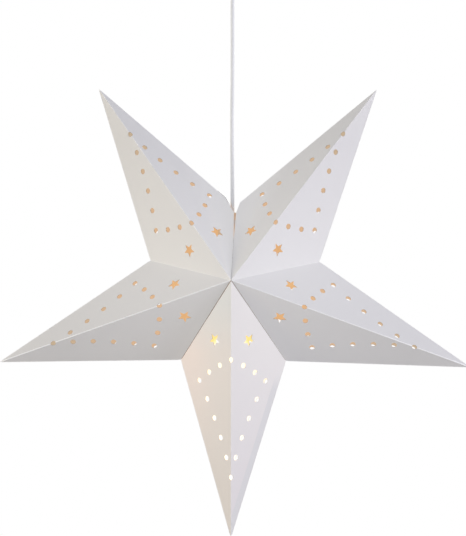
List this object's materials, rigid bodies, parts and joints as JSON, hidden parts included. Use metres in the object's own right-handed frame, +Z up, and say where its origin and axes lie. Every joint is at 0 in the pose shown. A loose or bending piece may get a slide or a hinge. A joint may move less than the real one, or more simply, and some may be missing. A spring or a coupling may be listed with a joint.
{
  "type": "folding paper star pendant light",
  "caption": "Hollow star of creased, punched white card that folds flat, hung over a globe bulb and its holder on a cord below a ceiling cup.",
  "frame": {"origin": "on the ceiling, at the middle of the bracket's top face, on the axis of the cord", "axes": "+Z up, out of the bracket's face into the ceiling; the star's front looks along -Y; +X to the right as seen from the front"},
  "size_m": [0.6039, 0.1586, 0.7724],
  "materials": {
    "card": "uncoated white card",
    "hook_tape": "nylon hook dots",
    "loop_tape": "nylon loop dots",
    "cord_sheath": "off-white flexible sheath",
    "core_insulation": "insulated cores",
    "holder_plastic": "moulded white",
    "cup_plastic": "moulded white",
    "socket_ceramic": "unglazed",
    "brass": "rolled brass",
    "screw_steel": "zinc plated",
    "bracket_steel": "zinc plated sheet",
    "opal_glass": "frosted, lit",
    "bulb_plastic": "moulded white",
    "bulb_metal": "nickel plated",
    "insulator": "black glass",
    "led_board": "white board with pale yellow diodes"
  },
  "bodies": {
    "root": {"ceiling_bracket": "bracket_steel", "cord_clamp": "cup_plastic", "clamp_screws": "screw_steel", "terminal_block": "cup_plastic", "terminal_tubes": "brass", "terminal_screws": "screw_steel", "terminal_fixing_screw": "screw_steel", "cord": "cord_sheath", "cord_in_cup": "cord_sheath", "cord_cores": "core_insulation", "lampholder_cap": "holder_plastic", "cap_cord_grip": "holder_plastic", "cap_grip_screw": "screw_steel", "lampholder_sleeve": "holder_plastic", "socket_core": "socket_ceramic", "socket_shell": "brass", "centre_contact": "brass", "side_contact": "brass", "terminal_posts": "screw_steel", "lampholder_cores": "core_insulation"},
    "cup": {"ceiling_cup": "cup_plastic", "cup_grip_body": "cup_plastic", "cup_grip_locknut": "cup_plastic"},
    "grip_cap": {"cup_grip_cap": "cup_plastic"},
    "bulb": {"bulb_globe": "opal_glass", "bulb_collar": "bulb_plastic", "bulb_screw_shell": "bulb_metal", "bulb_insulator": "insulator", "bulb_contact": "bulb_metal", "led_carrier": "led_board"},
    "upper_left_arm_front_cw": {"upper_left_arm_front_cw": "card"},
    "upper_left_arm_front_ccw": {"upper_left_arm_front_ccw": "card"},
    "upper_left_arm_back_cw": {"upper_left_arm_back_cw": "card"},
    "upper_left_arm_back_ccw": {"upper_left_arm_back_ccw": "card"},
    "left_arm_front_cw": {"left_arm_front_cw": "card"},
    "left_arm_front_ccw": {"left_arm_front_ccw": "card"},
    "left_arm_back_cw": {"left_arm_back_cw": "card"},
    "left_arm_back_ccw": {"left_arm_back_ccw": "card"},
    "bottom_arm_front_cw": {"bottom_arm_front_cw": "card"},
    "bottom_arm_front_ccw": {"bottom_arm_front_ccw": "card"},
    "bottom_arm_back_cw": {"bottom_arm_back_cw": "card"},
    "bottom_arm_back_ccw": {"bottom_arm_back_ccw": "card"},
    "right_arm_front_cw": {"right_arm_front_cw": "card"},
    "right_arm_front_ccw": {"right_arm_front_ccw": "card"},
    "right_arm_back_cw": {"right_arm_back_cw": "card"},
    "right_arm_back_ccw": {"right_arm_back_ccw": "card"},
    "upper_right_arm_front_cw": {"upper_right_arm_front_cw": "card"},
    "upper_right_arm_front_ccw": {"upper_right_arm_front_ccw": "card"},
    "upper_right_arm_back_cw": {"upper_right_arm_back_cw": "card"},
    "upper_right_arm_back_ccw": {"upper_right_arm_back_ccw": "card"},
    "front_flap_left": {"front_flap_left": "card", "front_hook_dots": "hook_tape"},
    "front_flap_right": {"front_flap_right": "card", "front_loop_dots": "loop_tape"},
    "back_flap_left": {"back_flap_left": "card", "back_hook_dots": "hook_tape"},
    "back_flap_right": {"back_flap_right": "card", "back_loop_dots": "loop_tape"}
  },
  "joints": [
    {"name": "cup_slide", "type": "slide", "parent": "root", "child": "cup", "axis": [0, 0, 1], "range_m": [-0.06, 0]},
    {"name": "grip_cap_turn", "type": "hinge", "parent": "cup", "child": "grip_cap", "pos_m": [0, 0, -0.064], "axis": [0, 0, 1], "range_deg": [0, 360]},
    {"name": "bulb_screw", "type": "slide", "parent": "root", "child": "bulb", "axis": [0, 0, 1], "range_m": [-0.024, 0]},
    {"name": "star_fold", "type": "hinge", "parent": "root", "child": "bottom_arm_front_cw", "pos_m": [0.00254, -0.07938, -0.45234], "axis": [-0.0135, 0.2422, -0.9701], "range_deg": [0, 45.96]},
    {"name": "bottom_ridge_other_half", "type": "hinge", "parent": "root", "child": "bottom_arm_front_ccw", "pos_m": [0.00254, -0.07938, -0.45234], "axis": [0.0135, -0.2422, 0.9701], "range_deg": [0, 45.98]},
    {"name": "bottom_left_valley_crease", "type": "hinge", "parent": "bottom_arm_front_cw", "child": "left_arm_front_ccw", "pos_m": [0.00253, -0.08, -0.4525], "axis": [0.4855, -0.566, 0.6663], "range_deg": [0, 127.26]},
    {"name": "left_ridge_crease", "type": "hinge", "parent": "left_arm_front_ccw", "child": "left_arm_front_cw", "pos_m": [0.00269, -0.07937, -0.45246], "axis": [-0.9244, 0.2434, -0.2937], "range_deg": [0, 91.63]},
    {"name": "left_upper_left_valley_crease", "type": "hinge", "parent": "left_arm_front_cw", "child": "upper_left_arm_front_ccw", "pos_m": [0.00253, -0.08, -0.4525], "axis": [0.7797, -0.5753, -0.2474], "range_deg": [0, 127.26]},
    {"name": "upper_left_ridge_crease", "type": "hinge", "parent": "upper_left_arm_front_ccw", "child": "upper_left_arm_front_cw", "pos_m": [0.0026, -0.07936, -0.45265], "axis": [-0.5457, 0.2455, 0.8012], "range_deg": [0, 88.37]},
    {"name": "bottom_right_valley_crease", "type": "hinge", "parent": "bottom_arm_front_ccw", "child": "right_arm_front_cw", "pos_m": [0.00253, -0.08, -0.4525], "axis": [0.4667, 0.566, -0.6796], "range_deg": [0, 127.26]},
    {"name": "right_ridge_crease", "type": "hinge", "parent": "right_arm_front_cw", "child": "right_arm_front_ccw", "pos_m": [0.00238, -0.07937, -0.45246], "axis": [-0.9158, -0.2434, 0.3194], "range_deg": [0, 91.63]},
    {"name": "right_upper_right_valley_crease", "type": "hinge", "parent": "right_arm_front_ccw", "child": "upper_right_arm_front_cw", "pos_m": [0.00253, -0.08, -0.4525], "axis": [0.7863, 0.5753, 0.2255], "range_deg": [0, 127.26]},
    {"name": "upper_right_ridge_crease", "type": "hinge", "parent": "upper_right_arm_front_cw", "child": "upper_right_arm_front_ccw", "pos_m": [0.00246, -0.07936, -0.45265], "axis": [-0.5679, -0.2455, -0.7857], "range_deg": [0, 88.37]},
    {"name": "upper_left_edge_cw", "type": "hinge", "parent": "upper_left_arm_front_cw", "child": "upper_left_arm_back_cw", "pos_m": [0.00399, 0, -0.34801], "axis": [0.7531, 0, -0.6579], "range_deg": [0, 88.81]},
    {"name": "upper_left_edge_ccw", "type": "hinge", "parent": "upper_left_arm_front_ccw", "child": "upper_left_arm_back_ccw", "pos_m": [-0.10589, 0, -0.4181], "axis": [-0.2928, 0, 0.9562], "range_deg": [0, 88.81]},
    {"name": "left_edge_cw", "type": "hinge", "parent": "left_arm_front_cw", "child": "left_arm_back_cw", "pos_m": [-0.10589, 0, -0.4181], "axis": [0.8307, 0, 0.5567], "range_deg": [0, 92.09]},
    {"name": "left_edge_ccw", "type": "hinge", "parent": "left_arm_front_ccw", "child": "left_arm_back_ccw", "pos_m": [-0.06609, 0, -0.54668], "axis": [-1, 0, -0.01], "range_deg": [0, 92.09]},
    {"name": "bottom_edge_cw", "type": "hinge", "parent": "bottom_arm_front_cw", "child": "bottom_arm_back_cw", "pos_m": [-0.06609, 0, -0.54668], "axis": [-0.2727, 0, 0.9621], "range_deg": [0, 92.4]},
    {"name": "bottom_edge_ccw", "type": "hinge", "parent": "bottom_arm_front_ccw", "child": "bottom_arm_back_ccw", "pos_m": [0.0685, 0, -0.54856], "axis": [-0.2995, 0, -0.9541], "range_deg": [0, 92.4]},
    {"name": "right_edge_cw", "type": "hinge", "parent": "right_arm_front_cw", "child": "right_arm_back_cw", "pos_m": [0.0685, 0, -0.54856], "axis": [-0.9993, 0, 0.0379], "range_deg": [0, 92.09]},
    {"name": "right_edge_ccw", "type": "hinge", "parent": "right_arm_front_ccw", "child": "right_arm_back_ccw", "pos_m": [0.11188, 0, -0.42114], "axis": [0.8149, 0, -0.5797], "range_deg": [0, 92.09]},
    {"name": "upper_right_edge_cw", "type": "hinge", "parent": "upper_right_arm_front_cw", "child": "upper_right_arm_back_cw", "pos_m": [0.11188, 0, -0.42114], "axis": [-0.3194, 0, -0.9476], "range_deg": [0, 88.81]},
    {"name": "upper_right_edge_ccw", "type": "hinge", "parent": "upper_right_arm_front_ccw", "child": "upper_right_arm_back_ccw", "pos_m": [0.00399, 0, -0.34801], "axis": [0.7712, 0, 0.6366], "range_deg": [0, 88.81]},
    {"name": "front_flap_left_crease", "type": "hinge", "parent": "upper_left_arm_front_cw", "child": "front_flap_left", "pos_m": [0.00222, -0.05552, -0.42151], "axis": [-0.0111, -0.6079, -0.794], "range_deg": [0, 95.02]},
    {"name": "front_flap_right_crease", "type": "hinge", "parent": "upper_right_arm_front_ccw", "child": "front_flap_right", "pos_m": [0.00372, -0.05552, -0.42153], "axis": [0.0111, 0.6079, 0.794], "range_deg": [0, 95.02]},
    {"name": "back_flap_left_crease", "type": "hinge", "parent": "upper_left_arm_back_cw", "child": "back_flap_left", "pos_m": [0.00222, 0.05552, -0.42151], "axis": [0.0111, -0.6079, 0.794], "range_deg": [0, 95.02]},
    {"name": "back_flap_right_crease", "type": "hinge", "parent": "upper_right_arm_back_ccw", "child": "back_flap_right", "pos_m": [0.00372, 0.05552, -0.42153], "axis": [-0.0111, 0.6079, -0.794], "range_deg": [0, 95.02]}
  ],
  "couplings": [
    {"joint": "bottom_ridge_other_half", "follows": "star_fold", "ratio": 1},
    {"joint": "bottom_left_valley_crease", "follows": "star_fold", "ratio": 2.7685},
    {"joint": "left_ridge_crease", "follows": "star_fold", "ratio": 1.9934},
    {"joint": "left_upper_left_valley_crease", "follows": "star_fold", "ratio": 2.7685},
    {"joint": "upper_left_ridge_crease", "follows": "star_fold", "ratio": 1.9223},
    {"joint": "bottom_right_valley_crease", "follows": "star_fold", "ratio": 2.7685},
    {"joint": "right_ridge_crease", "follows": "star_fold", "ratio": 1.9934},
    {"joint": "right_upper_right_valley_crease", "follows": "star_fold", "ratio": 2.7685},
    {"joint": "upper_right_ridge_crease", "follows": "star_fold", "ratio": 1.9223},
    {"joint": "upper_left_edge_cw", "follows": "star_fold", "ratio": 1.932},
    {"joint": "upper_left_edge_ccw", "follows": "star_fold", "ratio": 1.932},
    {"joint": "left_edge_cw", "follows": "star_fold", "ratio": 2.0033},
    {"joint": "left_edge_ccw", "follows": "star_fold", "ratio": 2.0033},
    {"joint": "bottom_edge_cw", "follows": "star_fold", "ratio": 2.01},
    {"joint": "bottom_edge_ccw", "follows": "star_fold", "ratio": 2.01},
    {"joint": "right_edge_cw", "follows": "star_fold", "ratio": 2.0033},
    {"joint": "right_edge_ccw", "follows": "star_fold", "ratio": 2.0033},
    {"joint": "upper_right_edge_cw", "follows": "star_fold", "ratio": 1.932},
    {"joint": "upper_right_edge_ccw", "follows": "star_fold", "ratio": 1.932},
    {"joint": "front_flap_left_crease", "follows": "star_fold", "ratio": 2.0671},
    {"joint": "front_flap_right_crease", "follows": "star_fold", "ratio": 2.0671},
    {"joint": "back_flap_left_crease", "follows": "star_fold", "ratio": 2.0671},
    {"joint": "back_flap_right_crease", "follows": "star_fold", "ratio": 2.0671}
  ]
}
